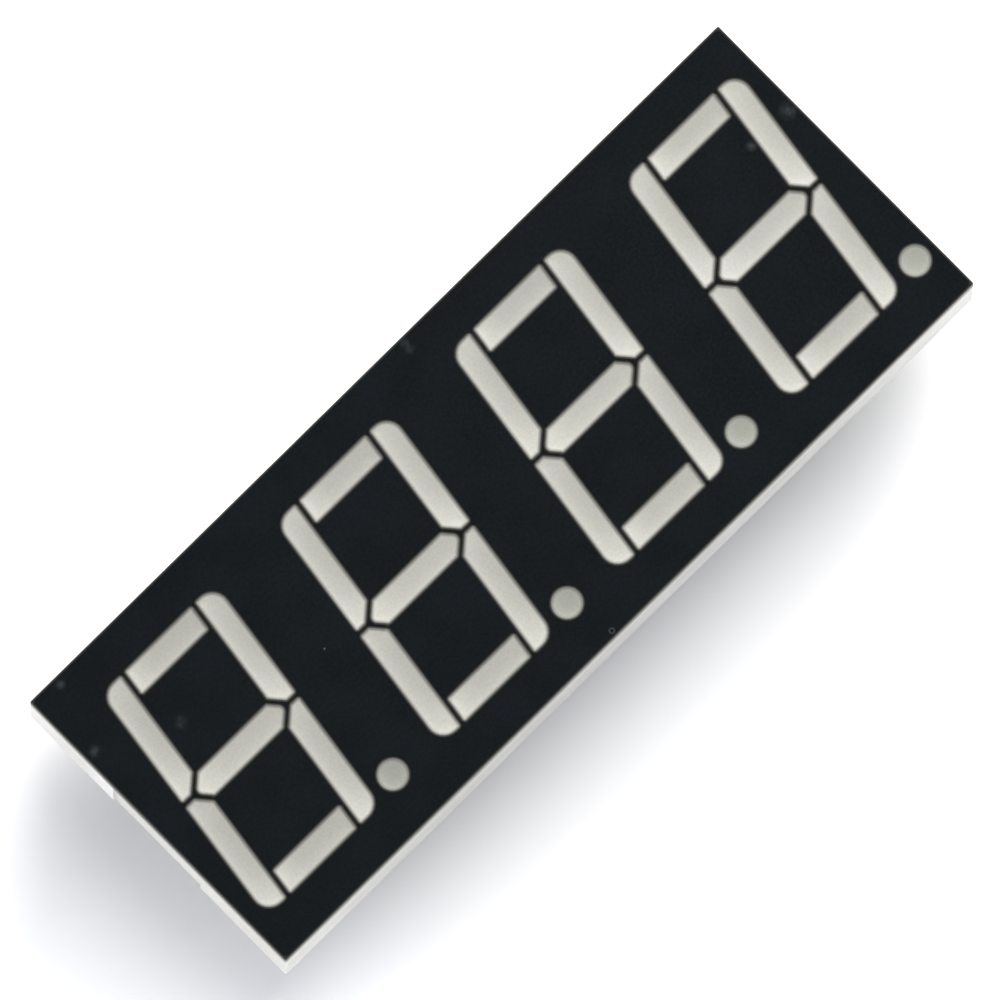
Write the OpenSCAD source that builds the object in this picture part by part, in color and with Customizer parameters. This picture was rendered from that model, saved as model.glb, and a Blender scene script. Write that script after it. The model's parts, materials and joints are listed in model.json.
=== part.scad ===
// Four-digit seven segment display module, through-hole, with a decimal point to each digit.
// Frame: the origin is at the centre of the pin field, on the plane of the back rim, where the
// body seats on a board. +X runs along the reading direction, +Y up the digits, +Z out of the face.
// All sizes are in millimetres.

/* [Body] */
// Length of the body at its back rim, along the row of digits
body_l = 50.3; // [50:0.1:62]
// Width of the body at its back rim
body_w = 19; // [18.8:0.1:24]
// Depth of the body, from the back rim to the front of the black coat
body_d = 8; // [6.5:0.1:12]
// How much narrower the face is than the back rim on each side, so that the body leaves its mould
draft = 0.05; // [0:0.01:0.2]
// Radius of the upright corners
corner_r = 0.1; // [0.05:0.05:0.6]
// Thickness of the walls round the board recess
rim_t = 0.8; // [0.6:0.05:0.9]
// Depth of the board recess, from the back rim to the seat of the board
recess_d = 2.2; // [2.2:0.05:3]
// Radius of the corners of the board recess
recess_r = 0.5; // [0.2:0.1:1]
// Width of the gate pocket in the left end wall
gate_w = 6.3; // [3:0.1:9]
// Height of the gate pocket above the back rim
gate_h = 2; // [1:0.1:4]
// Depth of the gate pocket
gate_d = 0.3; // [0.1:0.05:0.4]

/* [Face] */
// Thickness of the black coat
coat_t = 0.05; // [0.03:0.01:0.2]
// Height of the straight land of each well, below the coat
well_land = 0.8; // [0.3:0.1:1.5]
// Length of a well's opening at the board, along its bar
well_l = 2; // [1.8:0.1:2.4]
// Width of a well's opening at the board, across its bar
well_w = 0.95; // [0.8:0.05:1.1]

/* [Digits] */
// Distance from one digit's centre to the next
digit_pitch = 12.7; // [12.6:0.1:14]
// Height of a digit
digit_h = 14.26; // [11:0.01:14.6]
// Width of a digit, measured level across its upright bars
digit_w = 8.25; // [8:0.01:8.5]
// Lean of the digits to the right, in degrees
slant = 8; // [0:0.5:10]
// Width of an upright bar, measured level
bar_w = 1.42; // [1.15:0.01:1.7]
// Height of a level bar
bar_h = 1.51; // [1.2:0.01:1.7]
// Gap between neighbouring bars
gap = 0.275; // [0.2:0.005:0.4]
// Where the mitred gaps would meet the level centre line, from the digit's centre
mitre_u = 3.44; // [3.35:0.01:3.5]
// Radius of the outer corner of each upright bar
end_r = 0.95; // [0.3:0.05:1]
// Radius of the points of the middle bar
tip_r = 0.34; // [0.1:0.01:0.4]
// Radius of every other corner of a bar
small_r = 0.15; // [0.05:0.01:0.2]

/* [Points] */
// Diameter of a decimal point
point_d = 1.68; // [1.2:0.01:1.8]
// Diameter of a point's well at the board
point_well_d = 1; // [0.9:0.05:1.1]
// Centre of the point to the right of its digit's centre
point_x = 4.71; // [4.6:0.01:4.8]
// Centre of the point below its digit's centre
point_drop = 6.455; // [6.2:0.005:6.6]

/* [Board] */
// Thickness of the circuit board
board_t = 1; // [0.6:0.05:1.1]
// Clearance between the board's edge and the recess
board_clear = 0.15; // [0.1:0.05:0.3]
// Thickness of the copper on either side
copper_t = 0.035; // [0.02:0.005:0.07]
// Width of a copper track
track_w = 0.25; // [0.15:0.05:0.3]
// Diameter of a plated through hole
via_d = 0.3; // [0.2:0.05:0.4]
// Diameter of the round copper lands for the pins
land_d = 1.4; // [1.1:0.05:1.5]
// Diameter of the two pegs that locate the board on the housing
peg_d = 1.2; // [0.8:0.1:1.4]
// Clearance round a peg in its hole
peg_clear = 0.1; // [0.05:0.05:0.2]
// Depth of the back potting's surface below the back rim
potting_drop = 0.3; // [0.1:0.05:0.3]

/* [Light sources] */
// Side of a square LED die
die_w = 0.25; // [0.2:0.01:0.3]
// Height of a die
die_t = 0.2; // [0.15:0.01:0.25]
// Distance from a bar's die to the foot of its wire
bar_span = 0.7; // [0.6:0.05:0.8]
// Distance from a point's die to the foot of its wire
point_span = 0.5; // [0.45:0.05:0.55]
// Diameter of a bond wire
wire_d = 0.03; // [0.02:0.005:0.05]

/* [Pins] */
// Diameter of a pin
pin_d = 0.5; // [0.4:0.05:0.6]
// Free length of a pin below the back rim
pin_l = 6; // [3:0.5:12]
// Distance between neighbouring pins
pin_pitch = 2.54; // [2:0.01:2.54]
// Distance between the two rows of pins
row_span = 15.24; // [15:0.01:15.4]
// How much the root of a pin, in the potting and the board, stands out all round
root_extra = 0.02; // [0.01:0.01:0.05]
// Clearance between a pin and the wall of its hole in the board, filled with solder
pin_clear = 0.15; // [0.1:0.05:0.2]
// How far a pin's head stands above the board, in a pocket of the housing
pin_head = 0.4; // [0.2:0.05:0.6]
// Chamfer at both ends of a pin
pin_chamfer = 0.1; // [0.05:0.01:0.15]
// Diameter of a solder joint where it meets its land
solder_d = 1.25; // [1:0.05:1.35]
// Height of a solder joint along the pin
solder_h = 0.55; // [0.3:0.05:0.55]

/* [Hidden] */
DIGITS = [1:4];
LETTERS = ["a", "b", "c", "d", "e", "f", "g"];
PINS = [1:12];
$fn = 48;

pins_in_row = 6;
arc_step = 15;                           // degrees to a facet of a rounded corner
overcut = 0.5;                           // how far a cut runs past the surface it opens
face_l = body_l - 2 * draft;
face_w = body_w - 2 * draft;
recess_l = body_l - 2 * rim_t;
recess_w = body_w - 2 * rim_t;

// Levels, from the back rim up
potting_z = potting_drop;
seat_z = recess_d;
board_top = seat_z - copper_t;
board_bottom = board_top - board_t;
back_copper_z = board_bottom - copper_t;
white_z = body_d - coat_t;
land_z = white_z - well_land;
die_top = seat_z + die_t;

// Half sizes of a digit drawn upright, before it leans
half_h = digit_h / 2;
half_w = digit_w / 2;
inner_u = half_w - bar_w;                // inner side of an upright bar
level_u = inner_u - gap / cos(slant);    // end of the top and bottom bars
mitre_in = mitre_u - gap / sqrt(2);      // |u| + |v| along the middle bar's points
mitre_out = mitre_u + gap / sqrt(2);     // |u| + |v| along the upright bars' chamfers

// Core-outs behind the face keep the moulding's walls even
core_wall = 0.95;
core_skin = 1.8;                         // plastic left between a core-out and the coat
core_r = 0.3;
peg_web = 1.3;                           // plastic left beside a peg
core_top = 6.1;                          // ends of the core-outs between two digits
core_bottom = -4.6;
hole_clear = 0.2;                        // round a pin's head in the housing
via_step = 0.45;                         // from the foot of a wire to its through hole
pad_w = 0.3;                             // width of the copper under the foot of a wire
die_pad_w = 0.45;
peg_stub = 0.3;                          // how far a peg stands out behind the board
root_r = pin_d / 2 + root_extra;
root_z = 0.05;                           // where a pin's root starts, above the back rim
pin_hole_r = root_r + pin_clear;
solder_neck = 0.06;                      // thickness of a joint's solder at its tip
solder_waist = 0.16;                     // and half way along it

// ---- Outlines ----

// A point of the upright digit, [u, v], where it stands once the digit leans
function lean(p) = [p[0] + p[1] * tan(slant), p[1]];

function unit(v) = v / norm(v);

// The arc that rounds corner b of the path a-b-c, a path that turns left
function arc(a, b, c, r) =
    let (to_a = unit(a - b), to_c = unit(c - b), half = acos(to_a * to_c) / 2)
    let (centre = b + unit(to_a + to_c) * r / sin(half), reach = r / tan(half))
    let (first = b + to_a * reach - centre, start = atan2(first[1], first[0]))
    let (turn = 180 - 2 * half, steps = ceil(turn / arc_step))
    [for (i = [0:steps]) centre + r * [cos(start + turn * i / steps), sin(start + turn * i / steps)]];

// A closed outline from corners [u, v, r], with each corner leaned and then rounded by its own r
function outline(corners) =
    let (n = len(corners), p = [for (c = corners) lean(c)])
    [for (i = [0:n - 1]) each arc(p[(i + n - 1) % n], p[i], p[(i + 1) % n], corners[i][2])];

function box_corners(u0, u1, v0, v1, r) = [[u0, v0, r], [u1, v0, r], [u1, v1, r], [u0, v1, r]];

// The four shapes that make a digit. The other three are these turned half way round.
top_bar = box_corners(-level_u, level_u, half_h - bar_h, half_h, small_r);
middle_bar = [
    [-mitre_in, 0, tip_r],
    [-(mitre_in - bar_h / 2), -bar_h / 2, small_r],
    [mitre_in - bar_h / 2, -bar_h / 2, small_r],
    [mitre_in, 0, tip_r],
    [mitre_in - bar_h / 2, bar_h / 2, small_r],
    [-(mitre_in - bar_h / 2), bar_h / 2, small_r]
];
upper_left_bar = [
    [-half_w, gap / 2, small_r],
    [-(mitre_out - gap / 2), gap / 2, small_r],
    [-inner_u, mitre_out - inner_u, small_r],
    [-inner_u, half_h, small_r],
    [-half_w, half_h, end_r]
];
upper_right_bar = [for (i = [4:-1:0]) [-upper_left_bar[i][0], upper_left_bar[i][1], upper_left_bar[i][2]]];

function half_turn(corners) = [for (c = corners) [-c[0], -c[1], c[2]]];

function corners(s) =
    s == "a" ? top_bar :
    s == "b" ? upper_right_bar :
    s == "c" ? half_turn(upper_left_bar) :
    s == "d" ? half_turn(top_bar) :
    s == "e" ? half_turn(upper_right_bar) :
    s == "f" ? upper_left_bar :
    middle_bar;

function is_upright(s) = len(search(s, "bcef")) > 0;

// ---- Places ----

function digit_x(d) = (d - 2.5) * digit_pitch;

// Centre of a bar's well at the board
side_u = half_w - bar_w / 2;
side_v = (half_h + gap / 2) / 2;
level_v = half_h - bar_h / 2;
function well_centre(s) =
    s == "a" ? [0, level_v] :
    s == "b" ? [side_u, side_v] :
    s == "c" ? [side_u, -side_v] :
    s == "d" ? [0, -level_v] :
    s == "e" ? [-side_u, -side_v] :
    s == "f" ? [-side_u, side_v] :
    [0, 0];

// Direction from a die to the foot of its wire
function wire_way(s) =
    s == "a" || s == "g" ? [1, 0] :
    s == "d" ? [-1, 0] :
    s == "b" || s == "c" ? [0, -1] :
    [0, 1];

// Places on the board, in the digit's own frame; "p" is the decimal point
function on_bar(s, t) = lean(well_centre(s) + wire_way(s) * t);
function on_point(t) = [point_x, t - point_drop];
function place(s, t) = s == "p" ? on_point(t) : on_bar(s, t);
function span(s) = s == "p" ? point_span : bar_span;
function die_xy(s) = place(s, -span(s) / 2);
function foot_xy(s) = place(s, span(s) / 2);
function via_xy(s) = place(s, span(s) / 2 + via_step);

SOURCES = concat(LETTERS, ["p"]);

// Pins 1 to 6 run left to right along the lower row, 7 to 12 back along the upper one
function pin_x(n) =
    let (column = n <= pins_in_row ? n - 1 : 2 * pins_in_row - n)
    (column - (pins_in_row - 1) / 2) * pin_pitch;
function pin_y(n) = (n <= pins_in_row ? -1 : 1) * row_span / 2;

// The pegs stand between the first two digits and between the last two, and midway between the
// tracks at the back of bars b and g
peg_y = (via_xy("b")[1] + via_xy("g")[1]) / 2;
peg_places = [for (side = [-1, 1]) [side * digit_pitch, peg_y]];

// ---- Shapes shared by pieces that meet ----

module rounded_rectangle(l, w, r) {
    square([l - 2 * r, w], center = true);
    square([l, w - 2 * r], center = true);
    for (x = [-1, 1], y = [-1, 1]) translate([x * (l / 2 - r), y * (w / 2 - r)]) circle(r);
}

// Side view of a well: its opening at the board, the slope, and the straight land. It starts a
// little wider than the bar, so that the slope meets the land inside the bar's own outline.
module well_profile(lo, hi, middle, opening) {
    ease = 0.05;
    polygon([
        [middle - opening / 2, seat_z - 2 * overcut],
        [middle + opening / 2, seat_z - 2 * overcut],
        [middle + opening / 2, seat_z],
        [hi + ease, land_z],
        [hi + ease, body_d + 2 * overcut],
        [lo - ease, body_d + 2 * overcut],
        [lo - ease, land_z],
        [middle - opening / 2, seat_z]
    ]);
}

// The light well of a bar: its outline, narrowed towards the die by four sloping walls
module bar_well(s, bottom, top) {
    shape = corners(s);
    us = [for (c = shape) c[0]] * cos(slant);
    vs = [for (c = shape) c[1]];
    centre = well_centre(s);
    along_u = is_upright(s) ? well_w : well_l;
    along_v = is_upright(s) ? well_l : well_w;
    reach = 2 * digit_h;
    intersection() {
        translate([0, 0, bottom]) linear_extrude(top - bottom) polygon(outline(shape));
        translate([-reach / 2, 0, 0]) rotate([90, 0, 90]) linear_extrude(reach)
            well_profile(min(vs), max(vs), centre[1], along_v);
        rotate([90, 0, -slant]) linear_extrude(reach, center = true)
            well_profile(min(us), max(us), centre[0] * cos(slant), along_u);
    }
}

// The light well of a decimal point
module point_well(bottom, top) {
    translate([point_x, -point_drop, 0]) rotate_extrude() polygon([
        [0, bottom],
        [point_well_d / 2, bottom],
        [point_well_d / 2, seat_z],
        [point_d / 2, land_z],
        [point_d / 2, top],
        [0, top]
    ]);
}

module well(s, bottom, top) {
    if (s == "p") point_well(bottom, top);
    else bar_well(s, bottom, top);
}

module die(s) {
    at = die_xy(s);
    translate([at[0], at[1], seat_z + die_t / 2]) cube([die_w, die_w, die_t], center = true);
}

// A wire leaves its die upwards, loops over in a half circle and drops to its foot
module bond_wire(s) {
    from = die_xy(s);
    way = foot_xy(s) - from;
    r = norm(way) / 2;
    translate([from[0], from[1], die_top]) rotate([0, 0, atan2(way[1], way[0])]) {
        translate([r, 0, 0]) rotate([90, 0, 0])
            rotate_extrude(angle = 180) translate([r, 0]) circle(wire_d / 2);
        translate([2 * r, 0, -die_t]) cylinder(h = die_t, r = wire_d / 2);
    }
}

module board_outline() {
    rounded_rectangle(recess_l - 2 * board_clear, recess_w - 2 * board_clear, recess_r - board_clear);
}

// A straight track between two points, with round ends
module track(from, to) {
    way = to - from;
    translate(from) rotate(atan2(way[1], way[0])) {
        translate([0, -track_w / 2]) square([norm(way), track_w]);
        circle(track_w / 2);
        translate([norm(way), 0]) circle(track_w / 2);
    }
}

module pin_body(n) {
    top = board_top + pin_head;
    r = pin_d / 2;
    translate([pin_x(n), pin_y(n), 0]) rotate_extrude() polygon([
        [0, -pin_l],
        [r - pin_chamfer, -pin_l],
        [r, -pin_l + pin_chamfer],
        [r, root_z],
        [root_r, root_z],
        [root_r, top - pin_chamfer],
        [root_r - pin_chamfer, top],
        [0, top]
    ]);
}

module solder_joint(n) {
    translate([pin_x(n), pin_y(n), 0]) rotate_extrude() polygon([
        [root_r, back_copper_z - solder_h],
        [root_r + solder_neck, back_copper_z - solder_h],
        [root_r + solder_waist, back_copper_z - solder_h / 2],
        [solder_d / 2, back_copper_z],
        [pin_hole_r, back_copper_z],
        [pin_hole_r, seat_z],
        [root_r, seat_z]
    ]);
}

// The ring of copper round each pin's hole
module pin_lands() {
    for (n = PINS) translate([pin_x(n), pin_y(n)]) difference() {
        circle(land_d / 2);
        circle(pin_hole_r);
    }
}

module back_copper_shapes() {
    for (s = SOURCES) track([digit_x(1), 0] + via_xy(s), [digit_x(4), 0] + via_xy(s));
    pin_lands();
}

module pegs(bottom, r) {
    for (at = peg_places) translate([at[0], at[1], bottom])
        cylinder(h = seat_z + overcut - bottom, r = r);
}

// ---- The pieces ----

// A block with a draft, whose walls stand round the board recess
module housing_block() {
    linear_extrude(white_z, scale = [face_l / body_l, face_w / body_w], slices = 1)
        rounded_rectangle(body_l, body_w, corner_r);
}

// Blind pockets inside the loops of a digit and between two digits
module core_outs() {
    deep = body_d - core_skin - seat_z + overcut;
    loop_u = inner_u - core_wall;
    loop_lo = bar_h / 2 + core_wall;
    loop_hi = half_h - bar_h - core_wall;
    between_lo = half_w + core_wall;
    between_hi = digit_pitch - half_w - core_wall;
    translate([0, 0, seat_z - overcut]) linear_extrude(deep) {
        for (d = DIGITS) translate([digit_x(d), 0]) {
            polygon(outline(box_corners(-loop_u, loop_u, loop_lo, loop_hi, core_r)));
            polygon(outline(box_corners(-loop_u, loop_u, -loop_hi, -loop_lo, core_r)));
        }
        for (d = [1:3]) translate([digit_x(d), 0]) {
            polygon(outline(box_corners(between_lo, between_hi, peg_y + peg_web, core_top, core_r)));
            polygon(outline(box_corners(between_lo, between_hi, core_bottom, peg_y - peg_web, core_r)));
        }
    }
}

module reflector_housing() {
    color("white") {
        difference() {
            housing_block();
            translate([0, 0, -overcut]) linear_extrude(seat_z + overcut)
                rounded_rectangle(recess_l, recess_w, recess_r);
            for (d = DIGITS, s = SOURCES) translate([digit_x(d), 0, 0])
                well(s, seat_z - overcut, white_z + overcut);
            core_outs();
            for (n = PINS) translate([pin_x(n), pin_y(n), seat_z - overcut])
                cylinder(h = overcut + pin_head + hole_clear, r = root_r + hole_clear);
            translate([-body_l / 2, 0, gate_h / 2 - overcut / 2])
                cube([2 * gate_d, gate_w, gate_h + overcut], center = true);
        }
        pegs(board_bottom - peg_stub, peg_d / 2);
    }
}

module face_coat() {
    color("#1b1f25") translate([0, 0, white_z]) linear_extrude(coat_t) difference() {
        rounded_rectangle(face_l, face_w, corner_r);
        for (d = DIGITS) translate([digit_x(d), 0]) {
            for (s = LETTERS) polygon(outline(corners(s)));
            translate([point_x, -point_drop]) circle(point_d / 2);
        }
    }
}

// The epoxy cast in one well, round its die and wire
module fill(d, s) {
    translate([digit_x(d), 0, 0]) difference() {
        well(s, seat_z, body_d);
        die(s);
        bond_wire(s);
    }
}

module segment_fill(d, s) {
    color("#cac9bb") fill(d, s);
}

module point_fill(d) {
    color("#b2b4a8") fill(d, "p");
}

module circuit_board() {
    color("#a59a62") translate([0, 0, board_bottom]) linear_extrude(board_t) difference() {
        board_outline();
        for (n = PINS) translate([pin_x(n), pin_y(n)]) circle(pin_hole_r);
        for (d = DIGITS, s = SOURCES) translate([digit_x(d), 0] + via_xy(s)) circle(via_d / 2);
        for (at = peg_places) translate(at) circle(peg_d / 2 + peg_clear);
    }
}

// One digit's common line: a spine through the level bars, with an arm to each upright bar
module digit_common() {
    for (s = SOURCES) translate(die_xy(s)) square(die_pad_w, center = true);
    track(die_xy("a"), die_xy("g"));
    track(die_xy("g"), die_xy("d"));
    track(die_xy("d"), die_xy("p"));
    for (s = ["f", "b"]) track(lean([-bar_span / 2, die_xy(s)[1]]), die_xy(s));
    for (s = ["e", "c"]) {
        v = die_xy(s)[1];
        track(lean([-bar_span / 2 * (1 + 2 * v / level_v), v]), die_xy(s));
    }
}

module front_copper() {
    color("#c57b45") {
        translate([0, 0, board_top]) linear_extrude(copper_t) {
            for (d = DIGITS) translate([digit_x(d), 0]) {
                digit_common();
                for (s = SOURCES) {
                    translate(foot_xy(s)) square(pad_w, center = true);
                    track(foot_xy(s), via_xy(s));
                }
            }
            pin_lands();
        }
        for (d = DIGITS, s = SOURCES) translate([digit_x(d), 0, board_bottom] + [each via_xy(s), 0])
            cylinder(h = board_t, r = via_d / 2);
    }
}

module back_copper() {
    color("#c57b45") translate([0, 0, back_copper_z]) linear_extrude(copper_t) back_copper_shapes();
}

module led_dies(d) {
    color("#d9d27a") translate([digit_x(d), 0, 0]) for (s = SOURCES) die(s);
}

module bond_wires(d) {
    color("#d8d8d8") translate([digit_x(d), 0, 0]) for (s = SOURCES) bond_wire(s);
}

module pin(n) {
    color("#c9cccf") pin_body(n);
}

module solder_joints() {
    color("#b4b8bb") for (n = PINS) solder_joint(n);
}

// The epoxy poured in behind the board, which also fills the gap round the board's edge
module back_potting() {
    color("#dcdccf") difference() {
        translate([0, 0, potting_z]) linear_extrude(seat_z - potting_z)
            rounded_rectangle(recess_l, recess_w, recess_r);
        translate([0, 0, board_bottom]) linear_extrude(board_t + overcut) board_outline();
        translate([0, 0, back_copper_z]) linear_extrude(copper_t + overcut) back_copper_shapes();
        for (n = PINS) {
            pin_body(n);
            solder_joint(n);
        }
        pegs(board_bottom - peg_stub, peg_d / 2);
    }
}

reflector_housing();
face_coat();
for (d = DIGITS, s = LETTERS)
    segment_fill(d, s);
for (d = DIGITS)
    point_fill(d);
circuit_board();
front_copper();
back_copper();
for (n = PINS)
    pin(n);
solder_joints();
for (d = DIGITS)
    led_dies(d);
for (d = DIGITS)
    bond_wires(d);
back_potting();
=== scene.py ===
# %% [markdown]
# # A four-digit seven segment display module
#
# The module is one white moulded housing. Its face is printed black, and every bar of every digit
# is a well through that face, filled level with milky epoxy. Behind the housing sits a small
# circuit board, sealed in with more epoxy, and two rows of tinned pins stick out of that.
#
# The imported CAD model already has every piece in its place, so this lesson adds only what CAD
# leaves out: the slight dish of cured epoxy, the finish of each surface, the light and the camera.

# %% Load the frame
import json
import math

import bmesh
import bpy
import numpy as np
from mathutils import Matrix, Vector
from mathutils.bvhtree import BVHTree
from mathutils.geometry import delaunay_2d_cdt


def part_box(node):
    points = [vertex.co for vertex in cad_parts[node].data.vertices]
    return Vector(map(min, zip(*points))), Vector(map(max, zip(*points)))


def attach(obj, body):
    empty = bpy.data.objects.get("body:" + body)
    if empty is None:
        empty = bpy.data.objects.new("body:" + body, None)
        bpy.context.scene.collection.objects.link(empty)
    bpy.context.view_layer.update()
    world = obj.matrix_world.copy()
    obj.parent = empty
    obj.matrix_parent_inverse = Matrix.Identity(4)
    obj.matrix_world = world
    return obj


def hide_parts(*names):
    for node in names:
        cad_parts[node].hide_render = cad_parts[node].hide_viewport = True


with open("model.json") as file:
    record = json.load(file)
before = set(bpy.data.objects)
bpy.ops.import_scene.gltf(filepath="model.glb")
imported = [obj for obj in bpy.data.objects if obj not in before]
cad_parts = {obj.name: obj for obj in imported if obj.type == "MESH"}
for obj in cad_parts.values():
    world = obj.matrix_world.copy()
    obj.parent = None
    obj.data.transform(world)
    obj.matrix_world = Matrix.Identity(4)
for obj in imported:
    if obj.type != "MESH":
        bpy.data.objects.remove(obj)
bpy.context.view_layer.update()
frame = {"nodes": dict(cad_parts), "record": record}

nodes = frame["nodes"]
MM = 0.001

# %% [markdown]
# ## Places that everything else is measured from
#
# Blender works in metres and this object is a few centimetres long, so sizes are written as a
# number of millimetres times MM. The face, the back rim and the pin tips come from the boxes of
# the CAD nodes, so that they stay right if the construction changes.

# %% Measure the module
body_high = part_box("reflector_housing")[1]
face_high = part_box("face_coat")[1]
face_z = face_high.z
half_l, half_w = face_high.x / MM, face_high.y / MM
potting_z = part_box("back_potting")[0].z
tip_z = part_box("pin_1")[0].z
print("face at", round(face_z / MM, 3), "mm, pin tips at", round(tip_z / MM, 3), "mm")

# %% [markdown]
# ## Two helpers
#
# A colour is written as people write it, as an sRGB hex value, and Blender's sockets want linear
# light, so one function converts. Shader trees and geometry trees are both made of nodes, and one
# function adds a node to either. It takes the node's settings and what goes into its sockets, by
# name or in their order: a value, another node's output, or a node, which stands for the first
# output that it has in use. The stops of a colour ramp count as a setting.

# %% Colours and nodes
def linear(hex_value):
    """An sRGB colour such as "#c8c7ba" as the linear RGBA that sockets take."""
    shares = [int(hex_value[i:i + 2], 16) / 255 for i in (1, 3, 5)]
    return (*(c / 12.92 if c <= 0.04045 else ((c + 0.055) / 1.055) ** 2.4 for c in shares), 1.0)


def set_stops(color_ramp, stops):
    """Gives a ramp its stops, each a position and a hex colour. A new ramp has two to start with."""
    for i, (position, colour) in enumerate(stops):
        element = color_ramp.elements[i] if i < 2 else color_ramp.elements.new(position)
        element.position = position
        element.color = linear(colour)


def add(tree, kind, settings={}, sockets={}):
    """Adds a node, sets its properties, then fills its inputs with values or links them."""
    node = tree.nodes.new(kind)
    for name, value in settings.items():
        if name == "stops":
            set_stops(node.color_ramp, value)
        else:
            setattr(node, name, value)
    for name, value in sockets.items() if isinstance(sockets, dict) else enumerate(sockets):
        if isinstance(value, bpy.types.Node):
            value = next(output for output in value.outputs if output.enabled)
        if isinstance(value, bpy.types.NodeSocket):
            tree.links.new(value, node.inputs[name])
        else:
            node.inputs[name].default_value = value
    return node


print("a mid grey, #808080, is", round(linear("#808080")[0], 3), "in linear light")

# %% Settings that many nodes share
TIMES = {"operation": "MULTIPLY"}
PLUS = {"operation": "ADD"}
MINUS = {"operation": "SUBTRACT"}
OVER = {"operation": "DIVIDE"}
BELOW = {"operation": "LESS_THAN"}
SCALED = {"operation": "SCALE"}
LARGER = {"operation": "MAXIMUM"}
SMOOTH = {"interpolation_type": "SMOOTHSTEP"}   # for a Map Range that eases in and out
COLOURS = {"data_type": "RGBA"}                 # for a Mix, whose colours are sockets 6 and 7

# %% [markdown]
# Every finish starts the same way, with an empty tree and the object's own coordinates in
# millimetres, because the finishes are patterns of a real size. It also ends the same way: a
# pattern's height becomes a fine relief, and this goes into a Principled shader with the rest of
# the surface.

# %% The start and the end of a finish
def start_finish(name):
    """A material with an empty tree, and the object's coordinates in mm."""
    material = bpy.data.materials.new(name)
    material.use_nodes = True
    tree = material.node_tree
    tree.nodes.clear()
    place = add(tree, "ShaderNodeTexCoord").outputs["Object"]
    mm = add(tree, "ShaderNodeVectorMath", SCALED, {0: place, "Scale": 1 / MM})
    return material, tree, mm


def end_finish(material, height, relief_mm, surface):
    """Gives the material a shader with that surface and a relief that many mm deep."""
    tree = material.node_tree
    relief = {"Height": height, "Distance": relief_mm * MM, "Strength": 1.0}
    bump = add(tree, "ShaderNodeBump", {}, relief)
    shader = add(tree, "ShaderNodeBsdfPrincipled", {}, {**surface, "Normal": bump})
    add(tree, "ShaderNodeOutputMaterial", {}, {"Surface": shader})
    print(material.name, "has", len(tree.nodes), "nodes")
    return material


# %% [markdown]
# ## The camera
#
# A small object like this is usually shown from far away with a long lens, so that its long edges
# stay parallel. The camera stands almost straight above the face, leaning a little towards the
# left end and the lower side, which lets a thin strip of the two white walls show. It is rolled
# so that the row of digits climbs from lower left to upper right.

# %% Camera
CAMERA_DISTANCE = 1500 * MM
PICTURE_WIDTH = 51.865 * MM              # what the picture spans at the face
SENSOR = 36.0
LEAN_LEFT = 0.053                        # how far the left wall's foot shows, as a share of its height
LEAN_LOW = 0.058                         # and the same for the lower wall
ROLL = math.radians(44.626)
AIM_LEFT = 0.112 * MM                    # how far left of the face's middle the camera aims
AIM_LOW = 0.376 * MM                     # and how far below it

lean_x = LEAN_LEFT + body_high.x / CAMERA_DISTANCE
lean_y = LEAN_LOW + body_high.y / CAMERA_DISTANCE
back = Vector((-lean_x, -lean_y, 1)).normalized()
right = Vector((math.cos(ROLL), -math.sin(ROLL), 0))
right = (right - right.dot(back) * back).normalized()
up = back.cross(right)
face_centre = Vector((0, 0, face_z))
aim = face_centre - right * AIM_LEFT - up * AIM_LOW

camera = bpy.data.objects.new("camera", bpy.data.cameras.new("camera"))
camera.data.lens = SENSOR * CAMERA_DISTANCE / PICTURE_WIDTH
camera.data.sensor_width = SENSOR
camera.data.clip_start = 0.1
camera.data.clip_end = 10
turn = Matrix((right, up, back)).transposed().to_4x4()
camera.matrix_world = Matrix.Translation(aim + back * CAMERA_DISTANCE) @ turn
bpy.context.scene.collection.objects.link(camera)
bpy.context.scene.camera = camera
print("lens", round(camera.data.lens), "mm")

# %% [markdown]
# ## Floor and light
#
# The module stands on its pins on white card. A large soft lamp leans in from the right end, so the
# shadow lies at the left and along the lower side. A wide reflector lights the left end wall, and
# two small white cards stand low beside the lower corners, where they thin out the shadow. The sky
# around fills in the rest. For the light's own paths the floor is a plain white that bounces light
# on to the walls. The camera sees it brighter than that, as a clean white background that still
# keeps the shadow.

# %% Floor
def seen_directly(tree):
    """1 for rays from the camera and for mirrored or refracted ones, 0 for the light's own paths."""
    path = add(tree, "ShaderNodeLightPath").outputs
    first = add(tree, "ShaderNodeMath", LARGER, [path["Is Camera Ray"], path["Is Glossy Ray"]])
    return add(tree, "ShaderNodeMath", LARGER, [first, path["Is Transmission Ray"]])


FLOOR_SIZE = 6.0
CARD = 0.85                              # share of the light that the card sends on
CARD_SEEN = 1.55                         # and the same as the camera is shown it
card = bpy.data.materials.new("white_card")
card.use_nodes = True
tree = card.node_tree
tree.nodes.clear()
white = add(tree, "ShaderNodeMapRange", {}, [seen_directly(tree), 0, 1, CARD, CARD_SEEN])
matt = add(tree, "ShaderNodeBsdfDiffuse", {}, {"Color": white})
add(tree, "ShaderNodeOutputMaterial", {}, {"Surface": matt})

mesh = bpy.data.meshes.new("floor")
half = FLOOR_SIZE / 2
corners = [(x * half, y * half, tip_z) for x, y in ((-1, -1), (1, -1), (1, 1), (-1, 1))]
mesh.from_pydata(corners, [], [(0, 1, 2, 3)])
mesh.materials.append(card)
floor = bpy.data.objects.new("floor", mesh)
bpy.context.scene.collection.objects.link(floor)
print("floor at", round(tip_z / MM, 3), "mm")

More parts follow.
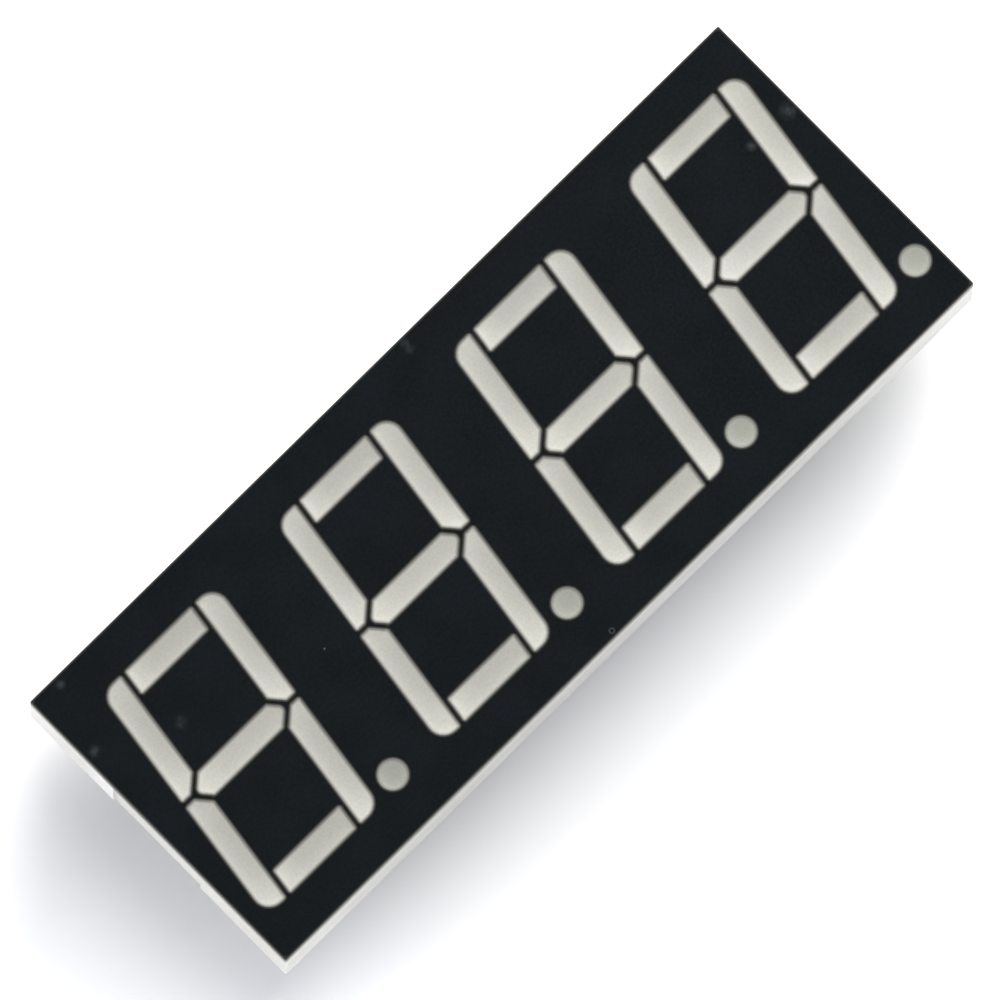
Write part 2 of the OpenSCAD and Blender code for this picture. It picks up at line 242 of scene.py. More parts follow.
# %% Lamps and sky
def soft_lamp(name, place, away, width, height, energy, colour):
    """An oval lamp of a size and at a place in mm, counted from the middle of the face. Its back
    points along away."""
    lamp = bpy.data.objects.new(name, bpy.data.lights.new(name, "AREA"))
    lamp.data.shape = "ELLIPSE"
    lamp.data.size = width * MM
    lamp.data.size_y = height * MM
    lamp.data.energy = energy
    lamp.data.color = colour
    lamp.location = face_centre + Vector(place) * MM
    lamp.rotation_mode = "QUATERNION"
    lamp.rotation_quaternion = Vector(away).to_track_quat("Z", "Y")
    bpy.context.scene.collection.objects.link(lamp)
    print(name, "gives", energy, "W")


WARM = (1.0, 0.985, 0.955)
WHITE = (1.0, 1.0, 1.0)
soft_lamp("lamp", (209, 116, 321), (0.65, 0.36, 1), 260, 520, 1.57, WARM)
soft_lamp("left_reflector", (-348, -35, 28), (-1, -0.1, 0.08), 220, 60, 0.5, WHITE)
soft_lamp("right_corner_card", (48, -48, -9), (0.6, -0.8, 0), 40, 8, 0.006, WHITE)
soft_lamp("left_corner_card", (-36, -20, -9), (-0.7, -0.7, 0), 8, 8, 0.00125, WHITE)

world = bpy.data.worlds.new("studio")
bpy.context.scene.world = world
world.use_nodes = True
tree = world.node_tree
tree.nodes.clear()
SKY = (0.191, 0.2, 0.243, 1)             # what the module is lit by
BACKGROUND = (0.972, 0.972, 0.975, 1)    # what is seen behind it
sky = add(tree, "ShaderNodeMix", COLOURS, {"Factor": seen_directly(tree), 6: SKY, 7: BACKGROUND})
air = add(tree, "ShaderNodeBackground", {}, {"Color": sky, "Strength": 1.0})
add(tree, "ShaderNodeOutputWorld", {}, {"Surface": air})

bpy.context.scene.view_settings.view_transform = "Standard"

# %% [markdown]
# ## Finishes
#
# Each finish is named for the real material. The housing is injection moulded ABS, white and
# slightly satin from a spark-eroded mould, whose grain is about 0.05 mm. The grain is drawn at
# 0.12 mm so that it shows. Handling leaves it a touch greyer in soft patches. The ink of the face
# runs over the edge and thins out on the walls. The left end wall is painted darker towards its
# lower corner, as painted shade. Just past the gate pocket it is painted paler, a painted highlight
# that fades away from the pocket, and just inside the pocket's edge it is painted darker, as
# painted shade beside the step.

# %% White moulded ABS
INK_WRAP = 0.6                           # mm of each wall's top that the ink covers
INK_FADE = 1.3                           # mm below that over which it thins out
INK_WANDER = 0.8                         # mm by which the ink's lower edge wanders up and down
GATE_EDGE = 3.3                          # mm from the middle of the wall to just past the pocket


def moulded_abs():
    material, tree, mm = start_finish("white_moulded_ABS")
    cloud = add(tree, "ShaderNodeTexNoise", {}, {"Vector": mm, "Scale": 0.28, "Detail": 3.0})
    grain = add(tree, "ShaderNodeTexNoise", {}, {"Vector": mm, "Scale": 8.0, "Detail": 2.0})
    greyer = [(0.3, "#e2e1d8"), (0.55, "#eeede6"), (0.75, "#f3f2ec")]
    tone = add(tree, "ShaderNodeValToRGB", {"stops": greyer}, {"Fac": cloud})
    x, y, z = add(tree, "ShaderNodeSeparateXYZ", {}, [mm]).outputs

    end_wall = add(tree, "ShaderNodeMath", BELOW, [x, 0.02 - half_l])
    beyond = add(tree, "ShaderNodeMapRange", SMOOTH, [y, GATE_EDGE - 0.02, GATE_EDGE + 0.02, 0, 1])
    within = add(tree, "ShaderNodeMapRange", SMOOTH, [y, GATE_EDGE - 0.02, GATE_EDGE + 0.02, 1, 0])
    # painted highlight: just past the pocket the end wall is painted paler, fading away from it
    highlight_fade = add(tree, "ShaderNodeMapRange", SMOOTH, [y, GATE_EDGE + 0.7, GATE_EDGE + 2.5, 1, 0.2])
    # painted shade: just inside the pocket's edge the end wall is painted darker, beside the step
    shade = add(tree, "ShaderNodeMapRange", SMOOTH, [y, GATE_EDGE - 0.5, GATE_EDGE - 0.1, 0, 0.5])
    # painted shade: the end wall is painted darker towards its lower corner
    corner_shade = add(tree, "ShaderNodeMapRange", SMOOTH, [y, 1.5 - half_w, 5.5 - half_w, 0.8, 0.35])
    gate_highlight = add(tree, "ShaderNodeMath", TIMES, [beyond, highlight_fade])
    dark = add(tree, "ShaderNodeMath", TIMES, [within, shade])
    # on the left end wall: painted shade at the lower corner, a painted highlight past the pocket,
    # painted shade inside its edge
    for share, other in ((corner_shade, "#cbcac2"), (gate_highlight, "#fefdf9"), (dark, "#b4b3ad")):
        here = add(tree, "ShaderNodeMath", TIMES, [share, end_wall])
        tone = add(tree, "ShaderNodeMix", COLOURS, {"Factor": here, 6: tone, 7: linear(other)})

    covered = face_z / MM + INK_WANDER / 2 - INK_WRAP
    ragged = add(tree, "ShaderNodeMath", {"operation": "MULTIPLY_ADD"}, [cloud, INK_WANDER, z])
    inked = add(tree, "ShaderNodeMapRange", SMOOTH, [ragged, covered - INK_FADE, covered, 0, 0.92])
    colour = add(tree, "ShaderNodeMix", COLOURS, {"Factor": inked, 6: tone, 7: linear("#2b2b28")})
    return end_finish(material, grain, 0.006, {"Base Color": colour, "Roughness": 0.42, "IOR": 1.53})


white_abs = moulded_abs()


# %% [markdown]
# The black of the face is a screen-printed ink, matt and faintly blue. At each opening the print
# ends in a thin brownish line where it gets thinner over the epoxy. Along the outer edge it thins
# out too, and it is chipped here and there. Dust and finger marks have dulled a few small spots.

# %% Black printed ink
INK_EDGE = 0.12                          # mm over which the ink thins out at an opening
INK_RIM = 0.15                           # mm over which it thins out towards the outer edge
INK_CHIP = 0.06                          # mm that the chips reach in from there
SMUDGES = [                              # x, y and radius in mm, and how dull the spot is
    (24.55, 3.75, 0.6, 0.65),
    (21.9, 3.78, 0.4, 0.5),
    (1.88, 9.16, 0.35, 0.65),
    (1.87, 8.73, 0.4, 0.3),
    (-24.5, 5.27, 0.45, 0.4),
    (-20.25, 3.19, 0.5, 0.35),
    (-23.3, 9.0, 0.38, 0.4),
]
SPECK = (-12.26, 0.69, 0.08)             # x, y and radius of a grain of white dust
RING = (-1.0, -9.11, 0.13)               # and of a small ring-shaped print


def spots(tree, mm):
    """How dull the ink is at each place: finger marks, one speck of dust and one small ring."""
    def away_from(x, y):
        return add(tree, "ShaderNodeVectorMath", {"operation": "DISTANCE"}, [mm, (x, y, face_z / MM)])

    soft = add(tree, "ShaderNodeTexNoise", {}, {"Vector": mm, "Scale": 2.2, "Detail": 2.0})
    patchy = add(tree, "ShaderNodeMapRange", SMOOTH, [soft, 0.35, 0.65, 0.3, 1.0])
    dull = 0.0
    for x, y, size, dulled in SMUDGES:
        smudge = add(tree, "ShaderNodeMapRange", SMOOTH, [away_from(x, y), 0, size, dulled, 0])
        smudge = add(tree, "ShaderNodeMath", TIMES, [patchy, smudge])
        dull = add(tree, "ShaderNodeMath", PLUS, [dull, smudge])
    x, y, size = SPECK
    speck = add(tree, "ShaderNodeMapRange", SMOOTH, [away_from(x, y), 0, size, 2, 0])
    dull = add(tree, "ShaderNodeMath", PLUS, [dull, speck])
    x, y, size = RING
    off_line = add(tree, "ShaderNodeMath", MINUS, [away_from(x, y), size])
    off_line = add(tree, "ShaderNodeMath", {"operation": "ABSOLUTE"}, [off_line])
    line = add(tree, "ShaderNodeMapRange", SMOOTH, [off_line, 0, 0.08, 0.5, 0])
    return add(tree, "ShaderNodeMath", PLUS, [dull, line])


def printed_ink():
    material, tree, mm = start_finish("black_screen_printed_ink")
    cloud = add(tree, "ShaderNodeTexNoise", {}, {"Vector": mm, "Scale": 0.35, "Detail": 4.0})
    black = add(tree, "ShaderNodeValToRGB", {"stops": [(0.35, "#060c10"), (0.7, "#0c1318")]},
                {"Fac": cloud})
    ink = add(tree, "ShaderNodeMix", COLOURS,
              {"Factor": spots(tree, mm), 6: black, 7: linear("#565c5c")})

    hole = add(tree, "ShaderNodeAttribute", {"attribute_name": "hole_mm"}).outputs["Fac"]
    thin = add(tree, "ShaderNodeMapRange", SMOOTH, [hole, 0, INK_EDGE, 1, 0])
    ink = add(tree, "ShaderNodeMix", COLOURS, {"Factor": thin, 6: ink, 7: linear("#5c584f")})

    rim = add(tree, "ShaderNodeAttribute", {"attribute_name": "rim_mm"}).outputs["Fac"]
    near_rim = add(tree, "ShaderNodeMapRange", {}, [rim, 0, INK_RIM, 1, 0])
    thin = add(tree, "ShaderNodeMath", {"operation": "POWER"}, [near_rim, 2])
    ink = add(tree, "ShaderNodeMix", COLOURS, {"Factor": thin, 6: ink, 7: linear("#77746b")})

    ragged = add(tree, "ShaderNodeTexNoise", {},
                 {"Vector": mm, "Scale": 1.7, "Detail": 6.0, "Roughness": 0.65})
    reach = add(tree, "ShaderNodeMapRange", SMOOTH, [ragged, 0.5, 0.7, 0, INK_CHIP])
    chip = add(tree, "ShaderNodeMath", BELOW, [rim, reach])
    ink = add(tree, "ShaderNodeMix", COLOURS, {"Factor": chip, 6: ink, 7: linear("#75736a")})

    grain = add(tree, "ShaderNodeTexNoise", {}, {"Vector": mm, "Scale": 6.0, "Detail": 5.0})
    rough = add(tree, "ShaderNodeMapRange", SMOOTH, [grain, 0.2, 0.8, 0.5, 0.75])
    surface = {"Base Color": ink, "Roughness": rough, "IOR": 1.5, "Specular IOR Level": 0.08}
    return end_finish(material, grain, 0.004, surface)


black_ink = printed_ink()


# %% [markdown]
# The bars and points are clear epoxy thickened with a white diffusing powder, so they look milky.
# The powder shows as a fine mottle. The white wall of the well shines through the epoxy where it
# is close under the surface, so a bar is brighter towards its ends, and the walls that face the
# lamp are painted brighter still, as painted light. How bright is stored on each point of the
# surface as an attribute. Next to the black ink a narrow rim is painted darker, as painted shade
# from the ink.

# %% Milky epoxy
# painted shade: a narrow rim of each bar and point next to the ink is painted darker
PAINTED_SHADE_RIM = 0.2                           # mm from the outline over which the ink takes light


def milky_epoxy(name, deep_colour, shallow_colour, rim_shade_share):
    material, tree, mm = start_finish(name)
    # how bright the face is painted: the wall shining through, with painted light where it faces the lamp
    light = add(tree, "ShaderNodeAttribute", {"attribute_name": "wall_and_painted_light"}).outputs["Fac"]
    edge = add(tree, "ShaderNodeAttribute", {"attribute_name": "edge_mm"}).outputs["Fac"]
    stops = [(0.0, deep_colour), (1.0, shallow_colour)]
    colour = add(tree, "ShaderNodeValToRGB", {"stops": stops}, {"Fac": light})
    mottle = add(tree, "ShaderNodeTexNoise", {}, {"Vector": mm, "Scale": 7.0, "Detail": 3.0})
    powder = add(tree, "ShaderNodeMapRange", SMOOTH, [mottle, 0.3, 0.7, 0.96, 1.04])
    # painted shade: the rim next to the ink is made darker
    rim = add(tree, "ShaderNodeMapRange", SMOOTH, [edge, 0, PAINTED_SHADE_RIM, rim_shade_share, 1])
    shade = add(tree, "ShaderNodeMath", TIMES, [powder, rim])
    shaded = add(tree, "ShaderNodeVectorMath", SCALED, {0: colour, "Scale": shade})
    return end_finish(material, mottle, 0.004, {"Base Color": shaded, "Roughness": 0.38, "IOR": 1.5})


# the last number is how dark the painted shade at the rim is
segment_epoxy = milky_epoxy("milky_segment_epoxy", "#b3b3a8", "#e6e6d9", 0.25)
point_epoxy = milky_epoxy("milky_point_epoxy", "#7f8176", "#d6d9ca", 0.4)


# %% [markdown]
# The board is sealed with the same resin, poured thicker and a little yellower. A few bubbles
# rose to its surface and left small round craters before it set. Their hollows are painted
# darker, as painted shade.

# %% Potting resin
def potting_resin():
    material, tree, mm = start_finish("cast_potting_epoxy")
    cloud = add(tree, "ShaderNodeTexNoise", {}, {"Vector": mm, "Scale": 0.22, "Detail": 3.0})
    colour = add(tree, "ShaderNodeValToRGB", {"stops": [(0.3, "#c9c7b4"), (0.7, "#d9d8c9")]},
                 {"Fac": cloud})
    cells = add(tree, "ShaderNodeTexVoronoi", {"feature": "F1"},
                {"Vector": mm, "Scale": 0.45, "Randomness": 1.0})
    crater = add(tree, "ShaderNodeMapRange", SMOOTH, [cells, 0.04, 0.1, 0, 1])
    # painted shade: each crater's hollow is made darker
    darker = add(tree, "ShaderNodeMapRange", {}, [crater, 0, 1, 0.82, 1])
    shaded = add(tree, "ShaderNodeVectorMath", SCALED, {0: colour, "Scale": darker})
    return end_finish(material, crater, 0.06, {"Base Color": shaded, "Roughness": 0.22, "IOR": 1.5})


potting_epoxy = potting_resin()


# %% [markdown]
# The pins are hard copper wire, tinned and cut to length. Drawing the wire leaves fine lines along
# it, and the tin has gone dull in patches. The cutter leaves the copper bare at the very tip.

# %% Tinned wire
BARE_TIP = 0.06                          # mm of bare copper at the end of a pin


def tinned_wire():
    material, tree, mm = start_finish("tinned_copper_wire")
    stretched = add(tree, "ShaderNodeMapping", {}, {"Vector": mm, "Scale": (1.0, 1.0, 0.05)})
    lines = add(tree, "ShaderNodeTexNoise", {}, {"Vector": stretched, "Scale": 14.0, "Detail": 3.0})
    patches = add(tree, "ShaderNodeTexNoise", {}, {"Vector": mm, "Scale": 1.3, "Detail": 4.0})
    bright = [(0.35, "#b9bab6"), (0.6, "#cfd1d0"), (0.75, "#dcdedd")]
    tin = add(tree, "ShaderNodeValToRGB", {"stops": bright}, {"Fac": patches})
    height = add(tree, "ShaderNodeSeparateXYZ", {}, [mm]).outputs["Z"]
    wavy = add(tree, "ShaderNodeMath", {"operation": "MULTIPLY_ADD"},
               [patches, 0.12, tip_z / MM + BARE_TIP])
    cut = add(tree, "ShaderNodeMath", BELOW, [height, wavy])
    colour = add(tree, "ShaderNodeMix", COLOURS, {"Factor": cut, 6: tin, 7: linear("#b08d6c")})
    rough = add(tree, "ShaderNodeMapRange", {}, [patches, 0.3, 0.7, 0.42, 0.22])
    return end_finish(material, lines, 0.008, {"Base Color": colour, "Roughness": rough, "Metallic": 1})


tinned_copper = tinned_wire()


# %% [markdown]
# The last finishes are inside the module, where the resin hides them: the glass and paper
# laminate of the board, its copper, the solder, the light-emitting crystals and their wires.

# %% Finishes inside
def simple_finish(name, dark, light, scale, relief_mm, **surface):
    """A surface of two close tones in a noise pattern of that many cycles a millimetre."""
    material, tree, mm = start_finish(name)
    noise = add(tree, "ShaderNodeTexNoise", {}, {"Vector": mm, "Scale": scale, "Detail": 4.0})
    stops = [(0.35, dark), (0.65, light)]
    colour = add(tree, "ShaderNodeValToRGB", {"stops": stops}, {"Fac": noise})
    return end_finish(material, noise, relief_mm, {"Base Color": colour, **surface})


# %% A finish for each piece
METAL = {"Metallic": 1.0}
finishes = {
    "housing_plastic": white_abs,
    "face_coat": black_ink,
    "segment_epoxy": segment_epoxy,
    "potting_epoxy": potting_epoxy,
    "tinned_wire": tinned_copper,
    "board_laminate": simple_finish("composite_laminate", "#9a8f58", "#ada16a", 2.0, 0.01, Roughness=0.5),
    "copper": simple_finish("etched_copper", "#b86f3f", "#cf8450", 5.0, 0.004, Roughness=0.35, **METAL),
    "solder": simple_finish("tin_solder", "#a9adb0", "#c3c7c9", 3.0, 0.01, Roughness=0.3, **METAL),
    "die_crystal": simple_finish("led_crystal", "#cfc76c", "#e0d98a", 9.0, 0.002, Roughness=0.2),
    "bond_wire": simple_finish("aluminium_bond_wire", "#d2d3d4", "#e2e3e4", 12.0, 0.001,
                               Roughness=0.25, **METAL),
}
slot_of = {s["node"]: s["material_slot"] for s in frame["record"]["subparts"]}
for name, node in nodes.items():
    node.data.materials.clear()
    node.data.materials.append(finishes[slot_of[name]])
    for polygon in node.data.polygons:
        polygon.material_index = 0
print(len(finishes), "finishes on", len(slot_of), "nodes")

# %% [markdown]
# ## Surfaces that cured in place
#
# CAD gives the resin flat faces. Real epoxy shrinks as it cures, so each bar has a shallow dish
# that meets the ink at its outline, and the potting at the back climbs a little up every wall and
# pin. The piece keeps its CAD solid, with its wells and hollows. Only the one flat face is taken
# off and put back as a fine mesh that can bend. Its outline stays where it was, so the piece
# stays closed.

# %% Take a flat face off
WELD = 0.0002 * MM                       # corners this close become one
NEAR = 0.001 * MM                        # heights this close count as the same


def open_up(name, level, side):
    """A joined copy of a CAD node without its flat face at that height, and the corners of that
    face's outlines in order, with the material to their left as seen from above."""
    bm = bmesh.new()
    bm.from_mesh(nodes[name].data)
    for measure in ("edge_mm", "hole_mm", "rim_mm", "wall_and_painted_light"):
        bm.verts.layers.float.new(measure)
    bmesh.ops.remove_doubles(bm, verts=bm.verts, dist=WELD)
    flat = [f for f in bm.faces
            if f.normal.z * side > 0.99 and abs(f.calc_center_median().z - level) < NEAR]
    taken = set(flat)
    following = {}
    for f in flat:
        for loop in f.loops:
            if any(other not in taken for other in loop.edge.link_faces):
                following[loop.vert] = loop.link_loop_next.vert
    outlines = []
    while following:
        corner = next(iter(following))
        outline = []
        while corner in following:
            outline.append(corner)
            corner = following.pop(corner)
        outlines.append(outline if side > 0 else outline[::-1])
    bmesh.ops.delete(bm, geom=flat, context="FACES")
    return bm, outlines


# %% [markdown]
# The new face needs points where the surface bends, which is close to its outlines, and few
# elsewhere. Rings of points follow each outline at chosen distances, and a coarse grid fills the
# middle. How far each point is from the outlines is kept on the mesh, because both the dish
# and the colours follow that distance.

# %% Distances on a flat face
BLOCK = 1500                             # points measured at a time, to spare memory


def outline_edges(outlines):
    """The two ends of every edge."""
    starts = np.concatenate(outlines)
    ends = np.concatenate([np.roll(o, -1, axis=0) for o in outlines])
    return starts, ends


def distance_to(points, starts, ends):
    """Distance from each point to the nearest edge."""
    run = ends - starts
    length_squared = (run ** 2).sum(1)
    found = []
    for i in range(0, len(points), BLOCK):
        offset = points[i:i + BLOCK, None] - starts
        along = np.clip((offset * run).sum(2) / length_squared, 0, 1)
        found.append(np.sqrt(((offset - along[..., None] * run) ** 2).sum(2)).min(1))
    return np.concatenate(found)


def on_face(points, starts, ends):
    """True for points with material under them: a line to the right crosses an odd number of edges."""
    found = []
    for i in range(0, len(points), BLOCK):
        x, y = points[i:i + BLOCK, :1], points[i:i + BLOCK, 1:]
        passes = (starts[:, 1] > y) != (ends[:, 1] > y)
        rise = np.where(passes, ends[:, 1] - starts[:, 1], 1.0)
        crossing = starts[:, 0] + (y - starts[:, 1]) / rise * (ends[:, 0] - starts[:, 0])
        found.append((passes & (x < crossing)).sum(1) % 2 == 1)
    return np.concatenate(found)


square = [np.array([(0, 0), (1, 0), (1, 1), (0, 1)], float)]
middle = distance_to(np.array([(0.5, 0.5)]), *outline_edges(square))[0]
print("the middle of a square of 1 is", round(middle, 3), "from its edges")


# %% Points for a new face
def ring(outline, reach, spacing):
    """Points that far inside one outline, and thinned out where they would crowd."""
    run = np.roll(outline, -1, axis=0) - outline
    length = np.linalg.norm(run, axis=1)
    inward = np.stack([-run[:, 1], run[:, 0]], 1) / length[:, None]
    points = []
    for i in range(len(outline)):
        both = inward[i - 1] + inward[i]
        points.append(outline[i] + both * reach / (1 + inward[i - 1] @ inward[i]))
        steps = int(length[i] / spacing)
        points += [outline[i] + run[i] * (k + 1) / (steps + 1) + inward[i] * reach for k in range(steps)]
    kept = [points[0]]
    for p in points[1:]:
        if np.linalg.norm(p - kept[-1]) > spacing / 3:
            kept.append(p)
    return np.array(kept)


def grid_points(low, high, spacing):
    """Points in rows, each row half a step aside, as in a honeycomb."""
    row = spacing * math.sqrt(3) / 2
    across = np.arange(low[0], high[0], spacing)
    rows = enumerate(np.arange(low[1], high[1], row))
    return np.array([(x + spacing / 2 * (j % 2), y) for j, y in rows for x in across])


def face_points(outlines, reaches, spacing, grid):
    """Rings of points along the outlines and a grid inside, without those that crowd an edge."""
    starts, ends = outline_edges(outlines)
    points = []
    for reach in reaches:
        for outline in outlines:
            new = ring(outline, reach, spacing)
            nearest = distance_to(new, starts, ends)
            points.append(new[nearest > 0.97 * reach])
    middle = grid_points(starts.min(0), starts.max(0), grid)
    points.append(middle[distance_to(middle, starts, ends) > reaches[-1] + grid / 3])
    points = np.concatenate(points)
    return points[on_face(points, starts, ends)]


print(len(face_points(square, (0.1, 0.2), spacing=0.1, grid=0.2)), "points for a square of 1")


# %% Put the new face in
def new_face(bm, outlines, level, side, reaches, spacing, grid):
    """Fills the opening with triangles, and stores each point's distance from the outlines."""
    flat = [np.array([(v.co.x, v.co.y) for v in outline], float) / MM for outline in outlines]
    starts, ends = outline_edges(flat)
    inner = face_points(flat, reaches, spacing, grid)
    points = np.concatenate([starts, inner])
    corners = [v for outline in outlines for v in outline]
    corners += [bm.verts.new((x * MM, y * MM, level)) for x, y in inner]

    first, edges = 0, []
    for outline in flat:
        n = len(outline)
        edges += [(first + i, first + (i + 1) % n) for i in range(n)]
        first += n
    _, _, triangles, origin, _, _ = delaunay_2d_cdt([Vector(p) for p in points], edges, [], 0, 1e-9)
    triangles = np.array([[origin[v][0] for v in t] for t in triangles])
    triangles = triangles[on_face(points[triangles].mean(1), starts, ends)]
    for t in triangles:
        face = bm.faces.new([corners[i] for i in (t if side > 0 else t[::-1])])
        face.smooth = True

    outer = max(flat, key=lambda o: np.ptp(o[:, 0]))
    others = [o for o in flat if o is not outer] or flat
    for name, lines in (("edge_mm", flat), ("hole_mm", others), ("rim_mm", [outer])):
        layer = bm.verts.layers.float[name]
        for corner, value in zip(corners, distance_to(points, *outline_edges(lines))):
            corner[layer] = value
    return len(triangles)


# %% [markdown]
# A well narrows from its opening down to the board, so its white walls lie close under the
# surface near the ends of a bar and deep in the middle. A plumb line dropped from each point of a
# small grid finds how deep the wall is there and which way it faces. The wall shines through the
# resin, which weakens it with depth, and the powder spreads it sideways. A wall that faces the
# lamp is painted brighter, as painted light. The top and the bottom bar of a digit are painted a
# touch darker.

# %% Light from the walls of a well
LIGHT_FADE = 4.0                         # mm of resin that weaken the light to a third
LIGHT_SPREAD = 0.5                       # mm that the powder spreads it sideways
LIGHT_GRID = 0.2                         # mm between two plumb lines
TO_LAMP = np.array((0.88, 0.47))         # the way to the lamp, seen from above
# the straight wall beside the outline shines through, and gets painted light where it faces the lamp
LAND_LIGHT = 0.22                        # light of the straight wall right beside the outline
LAND_REACH = 0.25                        # mm over which that light fades
# painted light: shares by which a wall that faces the lamp is painted brighter
BAR_PAINTED_LIGHT = 0.75                          # how much brighter a wall that faces the lamp is
POINT_PAINTED_LIGHT = 0.3                         # and the same for the round wells
# the top and the bottom bar of each digit are painted a touch darker by these shares
TOP_AND_BOTTOM_DARKER = {"a": 0.15, "d": 0.08}      # light that the top and the bottom bar lose


def wall_and_painted_light(bm, outlines, level, painted_light_gain, darker_by):
    """Stores how bright each point of a well's face is painted: the white wall shining through the
    resin, with painted light where a wall faces the lamp, and a touch darker for the top and bottom bar.
    """
    walls = BVHTree.FromBMesh(bm)
    edge_layer, light_layer = (bm.verts.layers.float[n] for n in ("edge_mm", "wall_and_painted_light"))
    face = [v for v in bm.verts if abs(v.co.z - level) < NEAR]
    points = np.array([(v.co.x, v.co.y) for v in face]) / MM
    places, light = [], []
    for x, y in grid_points(points.min(0), points.max(0), LIGHT_GRID):
        start = Vector((x * MM, y * MM, level - 0.01 * MM))
        _, normal, _, depth = walls.ray_cast(start, Vector((0, 0, -1)))
        if normal is not None:
            level_part = -np.array(normal.xy)
            facing = level_part @ TO_LAMP / max(np.linalg.norm(level_part), 0.2)
            places.append((x, y))
            # the wall shines through, weaker with depth; painted light makes a wall that faces the lamp
            # brighter
            light.append(math.exp(-depth / MM / LIGHT_FADE) * (1 + painted_light_gain * facing))
    spread = np.exp(-((points[:, None] - np.array(places)) ** 2).sum(2) / (2 * LIGHT_SPREAD ** 2))
    total = spread @ np.array(light) / spread.sum(1)

    starts, ends = outline_edges([np.array([v.co.xy for v in outline]) / MM for outline in outlines])
    step = 0.02
    ahead = distance_to(points + TO_LAMP * step, starts, ends)
    behind = distance_to(points - TO_LAMP * step, starts, ends)
    facing = (ahead - behind) / (2 * step)
    edge = np.array([v[edge_layer] for v in face])
    # painted light again on the side of the outline that faces the lamp
    total += LAND_LIGHT * np.exp(-edge / LAND_REACH) * (1 + painted_light_gain * facing)
    # the top and the bottom bar are painted a touch darker
    for corner, value in zip(face, total - darker_by):
        corner[light_layer] = value


# %% [markdown]
# The rule of the dish is short: at a distance d from the outline the surface has sunk by
# depth x (1 - exp(-d / reach)), plus a faint ripple that dies out at the outline. Geometry Nodes
# suits a rule like that. The tree reads the stored distance and moves each point, and the same
# tree serves the bars, the points and the potting with other numbers.

# %% The dish as a geometry tree
def dish_tree():
    tree = bpy.data.node_groups.new("cured_dish", "GeometryNodeTree")
    tree.interface.new_socket("Geometry", in_out="INPUT", socket_type="NodeSocketGeometry")
    for name in ("Depth", "Reach", "Ripple", "Ripple width", "Outwards"):
        tree.interface.new_socket(name, in_out="INPUT", socket_type="NodeSocketFloat")
    tree.interface.new_socket("Material", in_out="INPUT", socket_type="NodeSocketMaterial")
    tree.interface.new_socket("Geometry", in_out="OUTPUT", socket_type="NodeSocketGeometry")
    given = add(tree, "NodeGroupInput").outputs
    edge = add(tree, "GeometryNodeInputNamedAttribute", {"data_type": "FLOAT"}, {"Name": "edge_mm"})
    reaches = add(tree, "ShaderNodeMath", OVER, [edge, given["Reach"]])
    reaches = add(tree, "ShaderNodeMath", TIMES, [reaches, -1.0])
    held_up = add(tree, "ShaderNodeMath", {"operation": "EXPONENT"}, [reaches])
    free = add(tree, "ShaderNodeMath", MINUS, [1.0, held_up])

    place = add(tree, "GeometryNodeInputPosition")
    place = add(tree, "ShaderNodeVectorMath", SCALED, {0: place, "Scale": 1 / MM})
    cycles = add(tree, "ShaderNodeMath", OVER, [1.0, given["Ripple width"]])
    noise = add(tree, "ShaderNodeTexNoise", {}, {"Vector": place, "Scale": cycles, "Detail": 1.0})
    wave = add(tree, "ShaderNodeMath", MINUS, [noise, 0.5])
    wave = add(tree, "ShaderNodeMath", TIMES, [wave, given["Ripple"]])

    depth = add(tree, "ShaderNodeMath", PLUS, [given["Depth"], wave])
    sunk = add(tree, "ShaderNodeMath", TIMES, [depth, free])
    drop = add(tree, "ShaderNodeMath", TIMES, [sunk, -MM])
    drop = add(tree, "ShaderNodeMath", TIMES, [drop, given["Outwards"]])
    offset = add(tree, "ShaderNodeCombineXYZ", {}, {"Z": drop})
    moved = add(tree, "GeometryNodeSetPosition", {}, {"Geometry": given["Geometry"], "Offset": offset})
    real = add(tree, "GeometryNodeRealizeInstances", {}, [moved])
    painted = add(tree, "GeometryNodeSetMaterial", {}, {"Geometry": real, "Material": given["Material"]})
    add(tree, "NodeGroupOutput", {}, {0: painted})
    return tree


DISH = dish_tree()
DISH_INPUTS = {i.name: i.identifier for i in DISH.interface.items_tree if i.in_out == "INPUT"}
print(DISH.name, "has", len(DISH.nodes), "nodes")


def dish(obj, material, **values):
    """Runs the tree on a piece and keeps the result as its plain mesh."""
    modifier = obj.modifiers.new("dish", "NODES")
    modifier.node_group = DISH
    for name, value in values.items():
        modifier[DISH_INPUTS[name.replace("_", " ")]] = value
    modifier[DISH_INPUTS["Material"]] = material
    seen = obj.evaluated_get(bpy.context.evaluated_depsgraph_get())
    result = bpy.data.meshes.new_from_object(seen)
    obj.modifiers.clear()
    obj.data = result


# %% A finished piece from an opened one
SHARP = math.radians(35)


def finish_piece(bm, name, material):
    """Makes an object of the mesh, smooth but for its sharp edges."""
    mesh = bpy.data.meshes.new(name)
    bm.to_mesh(mesh)
    bm.free()
    mesh.materials.append(material)
    for polygon in mesh.polygons:
        polygon.material_index = 0
        polygon.use_smooth = True
    mesh.set_sharp_from_angle(angle=SHARP)
    obj = bpy.data.objects.new(name, mesh)
    bpy.context.scene.collection.objects.link(obj)
    return obj


def place_piece(obj, node):
    """Shows the piece in place of that CAD node."""
    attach(obj, "root")
    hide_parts(node)


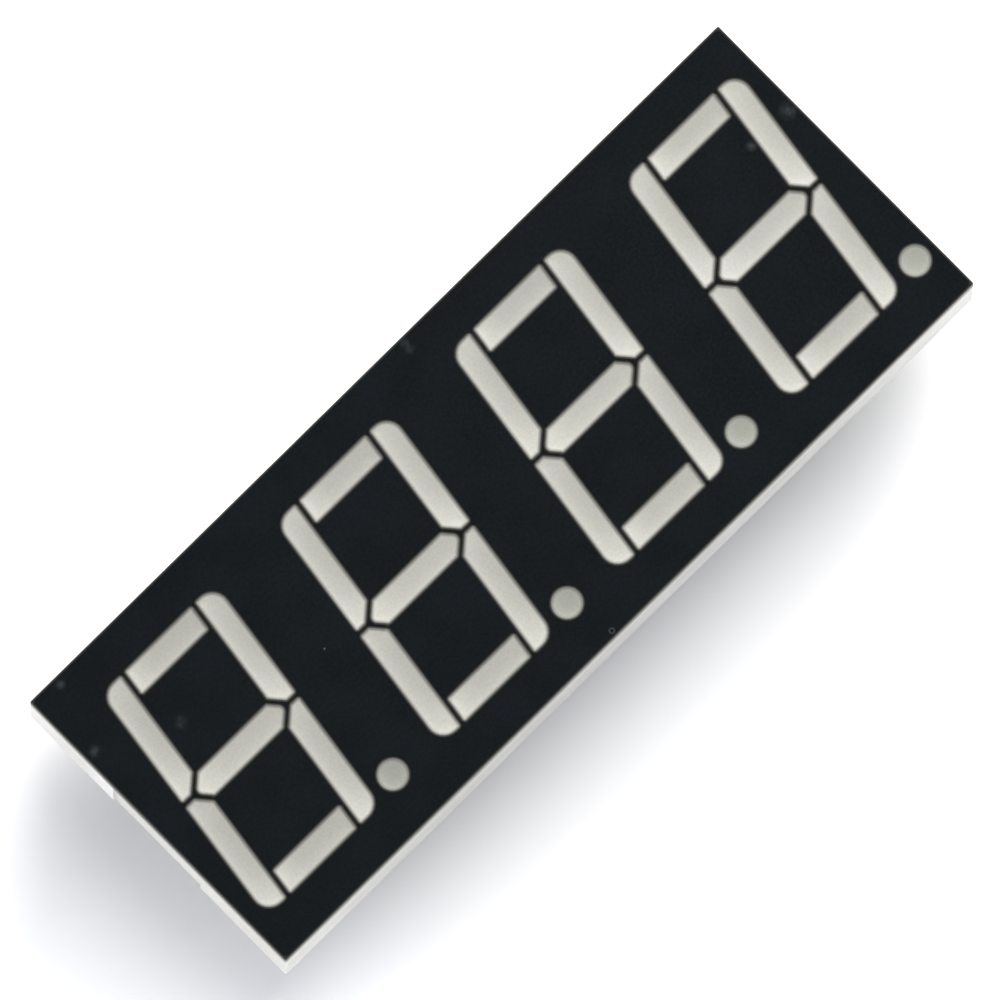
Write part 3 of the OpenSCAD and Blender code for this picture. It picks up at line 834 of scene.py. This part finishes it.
# %% [markdown]
# ## The bars and the points
#
# There are seven bars and a point to each digit. All of them are made by the same few lines:
# open the CAD piece, mesh its face again, and let the tree dish it.

# %% Milky bars and points
FILL_REACHES = (0.03, 0.07, 0.12, 0.18, 0.27, 0.4, 0.55)
count = 0
for node in sorted(n for n in nodes if "_segment_" in n or n.endswith("_point")):
    bm, outlines = open_up(node, face_z, 1)
    count += new_face(bm, outlines, face_z, 1, FILL_REACHES, spacing=0.16, grid=0.3)
    is_point = node.endswith("_point")
    # each well gets painted light on the walls that face the lamp, a larger share for bars than points
    material, well_painted_light = (point_epoxy, POINT_PAINTED_LIGHT) if is_point else (segment_epoxy, BAR_PAINTED_LIGHT)
    wall_and_painted_light(bm, outlines, face_z, well_painted_light, TOP_AND_BOTTOM_DARKER.get(node[-1], 0))
    piece = finish_piece(bm, "milky_" + node, material)
    dish(piece, material, Depth=0.045, Reach=0.25, Ripple=0.02, Ripple_width=1.2, Outwards=1.0)
    place_piece(piece, node)
print(count, "triangles on the lit faces")

# %% [markdown]
# ## The printed face
#
# The ink is flat, but its colour changes near each opening and along the outer edge, so it needs
# the same stored distances. It gets a new face too, and no dish.

# %% Printed face
COAT_REACHES = (0.03, 0.07, 0.12, 0.3)
bm, outlines = open_up("face_coat", face_z, 1)
count = new_face(bm, outlines, face_z, 1, COAT_REACHES, spacing=0.2, grid=0.7)
coat = finish_piece(bm, "printed_face", black_ink)
place_piece(coat, "face_coat")
print(len(outlines), "outlines,", count, "triangles on the ink")

# %% [markdown]
# ## The potting
#
# Seen from behind, the resin lies just under the rim. It wets the housing's walls and the pins,
# so it is highest there and sinks by a little more than a tenth of a millimetre between them.

# %% Poured back
POTTING_REACHES = (0.05, 0.11, 0.2, 0.32, 0.5, 0.75)
bm, outlines = open_up("back_potting", potting_z, -1)
count = new_face(bm, outlines, potting_z, -1, POTTING_REACHES, spacing=0.25, grid=0.6)
potting = finish_piece(bm, "poured_back", potting_epoxy)
dish(potting, potting_epoxy, Depth=0.14, Reach=0.3, Ripple=0.08, Ripple_width=4.0, Outwards=-1.0)
place_piece(potting, "back_potting")
print(len(outlines), "outlines,", count, "triangles on the potting")
